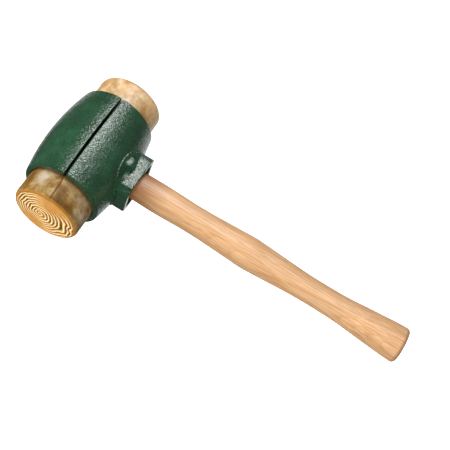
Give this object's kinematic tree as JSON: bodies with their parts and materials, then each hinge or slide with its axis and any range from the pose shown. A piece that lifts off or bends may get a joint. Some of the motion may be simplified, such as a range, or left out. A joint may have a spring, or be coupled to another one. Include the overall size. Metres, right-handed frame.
{
  "type": "split head rawhide mallet",
  "caption": "Soft-faced mallet: a two-piece iron barrel head clamped by screws round two rolled rawhide faces, on a long oval wooden handle.",
  "frame": {"origin": "centre of the rear striking face, on which the mallet stands", "axes": "+Z along the head from the rear striking face to the front one, +X along the handle towards its butt, +Y the side of the head"},
  "size_m": [0.404, 0.0918, 0.1604],
  "materials": {
    "green_enamel": "satin to gloss enamel over rough sand-cast iron",
    "rawhide": "rolled, glued and varnished rawhide",
    "hickory": "turned and sanded, thin clear finish",
    "wedge_wood": "sawn",
    "bare_steel": "bare steel",
    "black_steel": "black oxide steel"
  },
  "bodies": {
    "base": {"head_base": "green_enamel", "handle": "hickory", "wood_wedge": "wedge_wood", "steel_wedge_front": "bare_steel", "steel_wedge_rear": "bare_steel"},
    "cap": {"head_cap": "green_enamel", "lock_washer_front": "bare_steel", "lock_washer_rear": "bare_steel"},
    "screw_front": {"clamp_screw_front": "black_steel"},
    "screw_rear": {"clamp_screw_rear": "black_steel"},
    "face_front": {"rawhide_face_front": "rawhide"},
    "face_rear": {"rawhide_face_rear": "rawhide"}
  },
  "joints": [
    {"name": "cap_lift", "type": "slide", "parent": "base", "child": "cap", "axis": [-1, 0, 0], "range_m": [0, 0.003]},
    {"name": "screw_front_turn", "type": "hinge", "parent": "cap", "child": "screw_front", "pos_m": [-0.035, 0, 0.10155], "axis": [-1, 0, 0], "range_deg": [0, 864]},
    {"name": "screw_rear_turn", "type": "hinge", "parent": "cap", "child": "screw_rear", "pos_m": [-0.035, 0, 0.05885], "axis": [-1, 0, 0], "range_deg": [0, 864]},
    {"name": "face_front_slide", "type": "slide", "parent": "base", "child": "face_front", "axis": [0, 0, 1], "range_m": [0, 0.025]},
    {"name": "face_rear_slide", "type": "slide", "parent": "base", "child": "face_rear", "axis": [0, 0, -1], "range_m": [0, 0.025]}
  ],
  "couplings": [
    {"joint": "screw_front_turn", "follows": "cap_lift", "rad_per_m": 5026.5},
    {"joint": "screw_rear_turn", "follows": "cap_lift", "rad_per_m": 5026.5}
  ]
}
